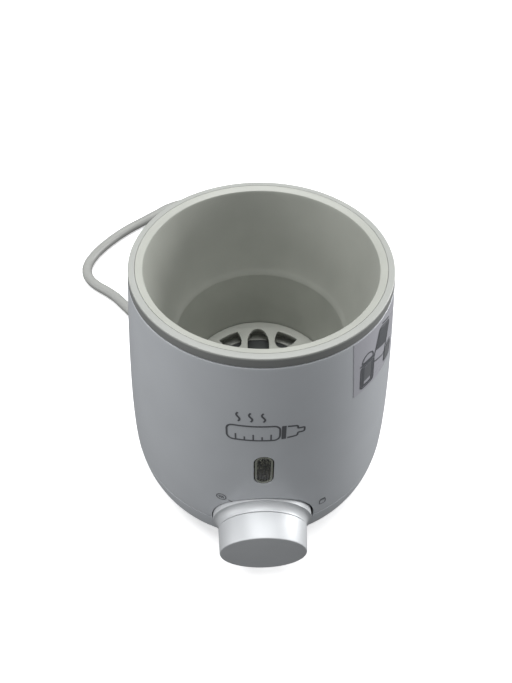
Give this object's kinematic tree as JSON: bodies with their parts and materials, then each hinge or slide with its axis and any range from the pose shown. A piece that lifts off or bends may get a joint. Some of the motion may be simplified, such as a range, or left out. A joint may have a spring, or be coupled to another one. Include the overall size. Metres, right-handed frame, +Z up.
{
  "type": "bottle warmer",
  "caption": "Electric baby bottle warmer: a rounded white housing round a grey water well with a slotted floor, a large front control knob, an oblong indicator lens and a mains lead",
  "frame": {"origin": "bottom centre of the warmer without its lead: the middle of the box round it, at the underside of its rubber feet", "axes": "+Z up, the control knob faces -Y, +X to the right seen from the front"},
  "size_m": [0.219, 0.3496, 0.152],
  "materials": {
    "white_plastic": "satin moulded",
    "grey_plastic": "satin moulded",
    "silver_plastic": "silver lacquered",
    "steel": "plated",
    "coated_steel": "dark non-stick coating",
    "silicone": "matte",
    "copper": "plain copper",
    "cream_plastic": "moulded",
    "black_plastic": "moulded",
    "brass": "plain",
    "clear_plastic": "clear moulded with fine ribs",
    "lamp_glass": "clear",
    "foot_rubber": "matte",
    "lead_sheath": "satin sheath",
    "tie_strap": "soft strap",
    "brown_sleeve": "insulation",
    "blue_sleeve": "insulation",
    "green_yellow_sleeve": "insulation",
    "white_sleeve": "insulation"
  },
  "bodies": {
    "housing": {"base_cover": "white_plastic", "bracket_screw_1": "steel", "bracket_screw_2": "steel", "capillary_tube": "copper", "clamp_screw_1": "steel", "clamp_screw_2": "steel", "clamp_screw_3": "steel", "clamp_screw_4": "steel", "cord_clamp": "black_plastic", "cord_clamp_screw_1": "steel", "cord_clamp_screw_2": "steel", "cord_coil": "lead_sheath", "cord_gland": "lead_sheath", "cord_tie": "tie_strap", "earth_wire": "green_yellow_sleeve", "floor_grille": "grey_plastic", "heating_element": "steel", "heating_plate": "coated_steel", "indicator_lamp": "lamp_glass", "indicator_lens": "clear_plastic", "inner_lead": "lead_sheath", "lamp_holder": "black_plastic", "lamp_wire_1": "white_sleeve", "lamp_wire_2": "white_sleeve", "live_wire": "brown_sleeve", "long_screw_1": "steel", "long_screw_2": "steel", "long_screw_3": "steel", "mains_cord": "lead_sheath", "neutral_wire": "blue_sleeve", "outer_shell": "white_plastic", "plate_clamp": "steel", "plate_gasket": "silicone", "plug_body": "lead_sheath", "plug_earth_clip_bottom": "brass", "plug_earth_clip_top": "brass", "plug_lead": "lead_sheath", "plug_pin_left": "steel", "plug_pin_right": "steel", "rim_ring": "grey_plastic", "rubber_foot_1": "foot_rubber", "rubber_foot_2": "foot_rubber", "rubber_foot_3": "foot_rubber", "rubber_foot_4": "foot_rubber", "sensor_bulb": "copper", "support_post_1": "white_plastic", "support_post_2": "white_plastic", "support_post_3": "white_plastic", "switched_wire": "brown_sleeve", "terminal_block": "cream_plastic", "thermal_fuse": "cream_plastic", "thermostat_body": "black_plastic", "thermostat_bracket": "steel", "thermostat_bush": "brass", "thermostat_nut": "brass", "water_chamber": "grey_plastic"},
    "knob": {"knob_cap": "silver_plastic", "knob_skirt": "silver_plastic", "control_shaft": "steel"}
  },
  "joints": [
    {"name": "knob_turn", "type": "hinge", "parent": "housing", "child": "knob", "pos_m": [0, -0.08069, 0.0353], "axis": [0, 1, 0], "range_deg": [0, 240]}
  ]
}
